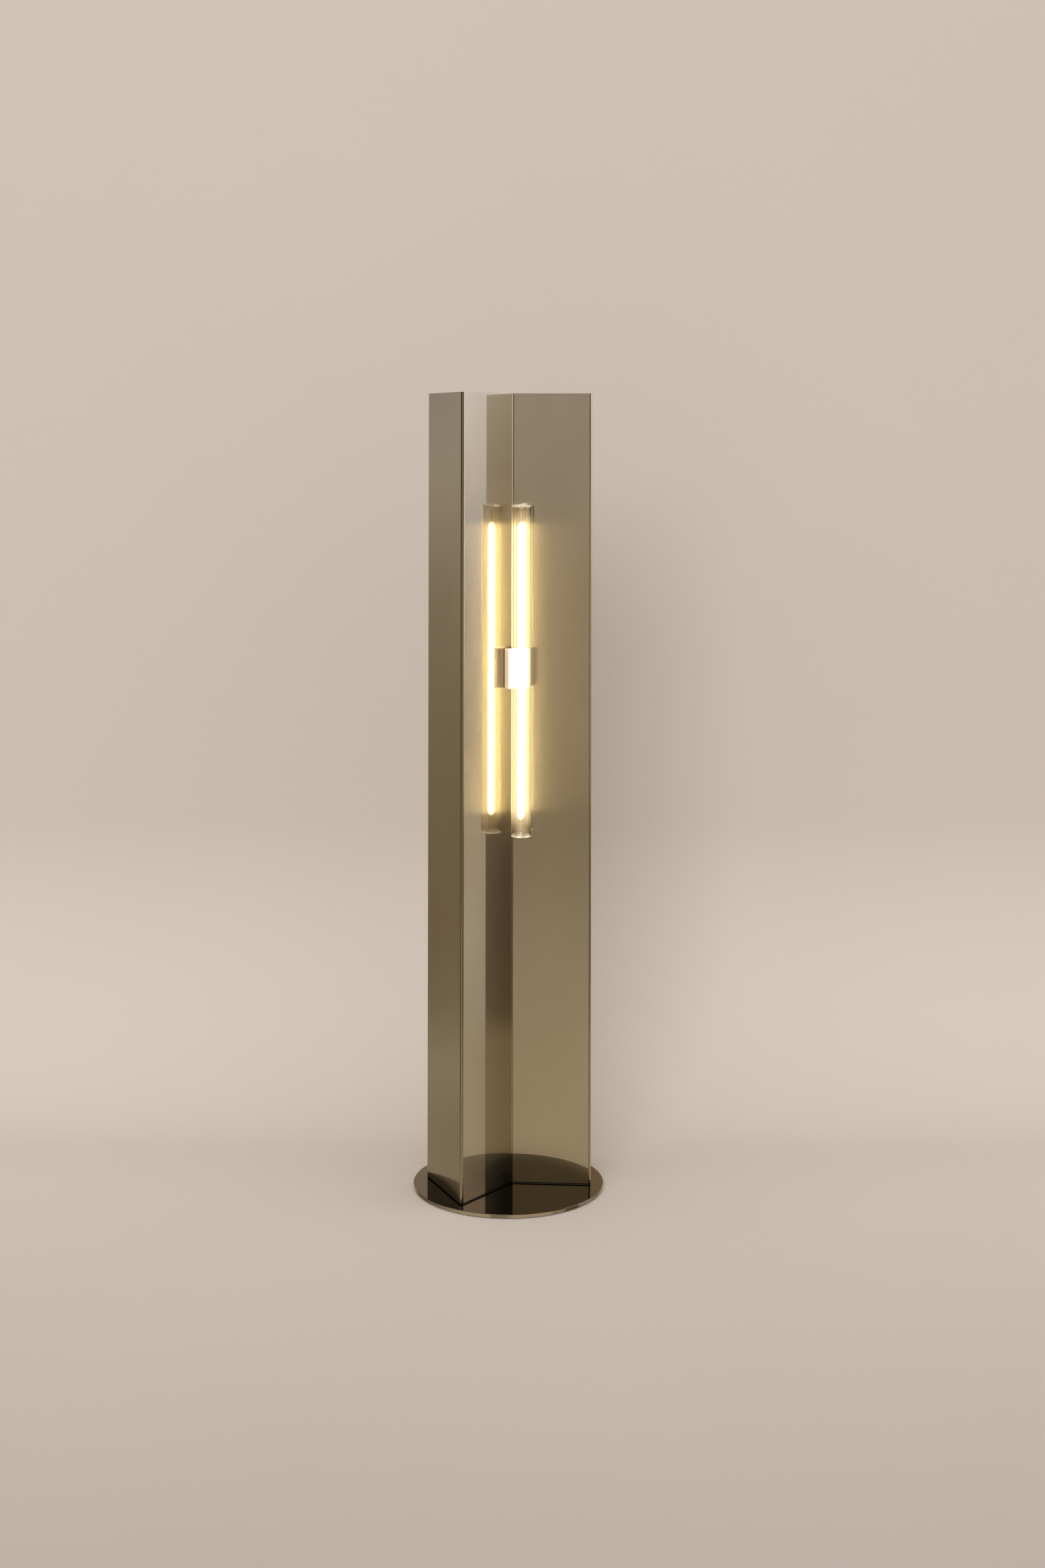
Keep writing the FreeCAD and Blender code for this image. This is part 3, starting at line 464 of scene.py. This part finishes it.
# World: plain fill for the stage, and the studio that polished metal sees, by direction

# Each list holds the tones that metal sees from low to high, as (rise, colour), and is named after the part of
# the picture that shows it. STUDIO places the lists round the lamp, each at its heading from +X towards +Y.
# Rises and headings are in degrees. The tones are a stand-in for the room.
RISE_LIMIT = 30
LEFT_PANEL = [
    (-RISE_LIMIT, (0.26, 0.19, 0.13)), (-18, (0.38, 0.31, 0.235)), (-16.3, (0.51, 0.43, 0.33)),
    (-14.7, (0.33, 0.265, 0.18)), (-13, (0.305, 0.225, 0.15)), (-10.2, (0.34, 0.26, 0.17)),
    (-7.8, (0.385, 0.30, 0.207)), (-4.2, (0.485, 0.395, 0.295)), (-0.6, (0.70, 0.63, 0.54)),
    (1, (0.68, 0.61, 0.575)), (19, (0.085, 0.065, 0.055)),
]
FLOOR_LIT = (1.3, 1.1, 0.83)
DARK_FRONT = [
    (-RISE_LIMIT, FLOOR_LIT), (-19.9, FLOOR_LIT), (-19.6, (0.17, 0.13, 0.08)), (-4, (0.14, 0.10, 0.06)),
    (0, (0.05, 0.03, 0.02)), (19, (0.0, 0.0, 0.0)),
]
DARK_SIDE = DARK_FRONT[:-1] + [(6, (0.05, 0.03, 0.02)), (14, (0.30, 0.26, 0.21))]
RIGHT_PANEL = [
    (-RISE_LIMIT, (0.66, 0.545, 0.42)), (-16.3, (0.75, 0.63, 0.48)), (-13, (0.68, 0.585, 0.47)),
    (-10.2, (0.525, 0.435, 0.32)), (-7.8, (0.66, 0.55, 0.41)), (-4.2, (0.70, 0.58, 0.46)),
    (1, (0.82, 0.745, 0.70)), (18.9, (0.35, 0.28, 0.19)), (19.5, (0.40, 0.315, 0.205)),
]
TWICE_SEEN = [
    (-RISE_LIMIT, (0.76, 0.58, 0.41)), (-15.6, (0.90, 0.71, 0.52)), (-15, (0.08, 0.03, 0.0)),
    (-10.6, (0.05, 0.0, 0.0)), (-9.4, (1.1, 0.85, 0.5)), (-3, (1.6, 1.3, 1.0)),
    (-0.6, (1.0, 0.83, 0.76)), (2, (1.75, 1.75, 1.95)), (12, (0.0, 0.0, 0.0)),
]
SOFT_BOX = [
    (-RISE_LIMIT, (0.30, 0.23, 0.15)), (-10, (0.30, 0.23, 0.15)), (-7, (0.9, 0.8, 0.65)),
    (-0.6, (2.2, 2.1, 1.9)), (8, (2.6, 2.5, 2.3)), (10, (0.05, 0.03, 0.02)), (19, (0.0, 0.0, 0.0)),
]
MIDDLE_PANEL = [
    (-RISE_LIMIT, (0.80, 0.70, 0.58)), (-16, (0.79, 0.69, 0.57)), (-13, (0.90, 0.83, 0.76)),
    (-10.2, (0.88, 0.75, 0.63)), (-7.8, (0.62, 0.53, 0.54)), (-4.2, (0.56, 0.52, 0.68)),
    (-2.4, (0.78, 0.75, 0.94)), (-1, (1.20, 1.12, 1.24)), (1, (1.50, 1.45, 1.68)),
    (18.9, (0.80, 0.66, 0.58)), (19.5, (1.25, 1.04, 0.90)),
]
BACK_WALL = [(-RISE_LIMIT, (0.5, 0.44, 0.37)), (8, (0.56, 0.49, 0.41)), (18, (0.42, 0.345, 0.265))]
BACK_RIGHT = [(-RISE_LIMIT, (0.5, 0.44, 0.37)), (8, (0.56, 0.49, 0.41)), (18, (0.33, 0.235, 0.115))]
STUDIO = {
    20: BACK_RIGHT, 63.5: BACK_RIGHT, 68.5: BACK_WALL, 96: BACK_WALL, 104: LEFT_PANEL,
    125: LEFT_PANEL, 136: DARK_FRONT, 150: DARK_SIDE, 222: DARK_SIDE, 227: RIGHT_PANEL,
    243: RIGHT_PANEL, 252: DARK_FRONT, 296: DARK_FRONT, 304: TWICE_SEEN, 315: TWICE_SEEN,
    321: SOFT_BOX, 338: SOFT_BOX, 342: MIDDLE_PANEL, 360: MIDDLE_PANEL,
}

# The fill that all other rays meet, at the horizon and below it, and straight above
FILL_LEVEL = (0.66, 0.655, 0.645)
FILL_ABOVE = (1.3, 1.29, 1.26)


def studio():
    """The world, with each list of tones shown at its headings and fading to the next list between them."""
    world = bpy.data.worlds.new("studio")
    bpy.context.scene.world = world
    t = Tree(world)
    x, y, z = t.parts(t.node("ShaderNodeTexCoord").outputs["Generated"])
    turns = t.math("DIVIDE", t.math("ARCTAN2", y, x), 2 * math.pi)
    rise = t.spread(t.math("DEGREES", t.math("ARCSINE", z)), -RISE_LIMIT, RISE_LIMIT)
    ramps = {}
    headings = sorted(STUDIO)
    total = None
    for i, heading in enumerate(headings):
        tones = STUDIO[heading]
        if id(tones) not in ramps:
            stops = [((angle + RISE_LIMIT) / (2 * RISE_LIMIT), colour) for angle, colour in tones]
            ramps[id(tones)] = t.ramp(rise, stops)
        before = heading - headings[i - 1] if i else heading - headings[-1] + 360
        after = headings[i + 1] - heading if i + 1 < len(headings) else headings[0] + 360 - heading
        # Turned so that this heading lies at the middle of the ramp
        turned = t.math("FRACT", t.math("ADD", turns, 2.5 - heading / 360))
        weight = t.ramp(turned, [
            (0.5 - before / 360, grey(0)), (0.5, grey(1)), (0.5 + after / 360, grey(0))])
        share = t.mix(weight, (0, 0, 0, 1), ramps[id(tones)])
        total = share if total is None else t.mix(1.0, total, share, "ADD")
    glossy = t.node("ShaderNodeLightPath").outputs["Is Glossy Ray"]
    above = t.spread(z, 0.0, 1.0)
    fill = t.ramp(above, [(0, FILL_LEVEL), (1, FILL_ABOVE)])
    background = t.node("ShaderNodeBackground")
    t.link(t.mix(glossy, fill, total), background.inputs[0])
    t.out(background.outputs[0], "ShaderNodeOutputWorld")


studio()


# Lamp of the studio, aimed at this height on the part's axis

AIM_HEIGHT = 0.7


def softbox(name, turn, rise, distance, size, power, colour):
    """A square lamp, this many degrees to the right of the camera and above level.

    Neither the metal nor the camera sees it.
    """
    light = bpy.data.lights.new(name, "AREA")
    light.shape = "SQUARE"
    light.size = size
    light.energy = power
    light.color = colour
    made = bpy.data.objects.new(name, light)
    around = VIEW_TURN + math.radians(turn)
    up = math.radians(rise)
    back = Vector((math.sin(around) * math.cos(up), -math.cos(around) * math.cos(up), math.sin(up)))
    made.location = Vector((0, 0, AIM_HEIGHT)) + back * distance
    made.rotation_euler = back.to_track_quat("Z", "Y").to_euler()
    made.visible_glossy = False
    made.visible_camera = False
    bpy.context.scene.collection.objects.link(made)


softbox("key", turn=-11, rise=27, distance=9.0, size=3.8, power=270.0, colour=(1.0, 0.985, 0.96))


# Camera

camera = bpy.data.objects.new("camera", bpy.data.cameras.new("camera"))
camera.location = ASIDE * CAMERA_ASIDE - LOOK * CAMERA_BACK + Vector((0, 0, PLATE_TOP + CAMERA_UP))
level = Matrix((ASIDE, Vector((0, 0, 1)), -LOOK)).transposed()
camera.rotation_euler = (level @ Matrix.Rotation(CAMERA_ROLL, 3, "Z")).to_euler()
camera.data.lens = LENS
camera.data.sensor_width = SENSOR_WIDTH
camera.data.shift_x, camera.data.shift_y = SHIFT
camera.data.clip_start = NEAREST
camera.data.clip_end = FARTHEST
bpy.context.scene.collection.objects.link(camera)
bpy.context.scene.camera = camera
bpy.context.scene.view_settings.view_transform = "Standard"
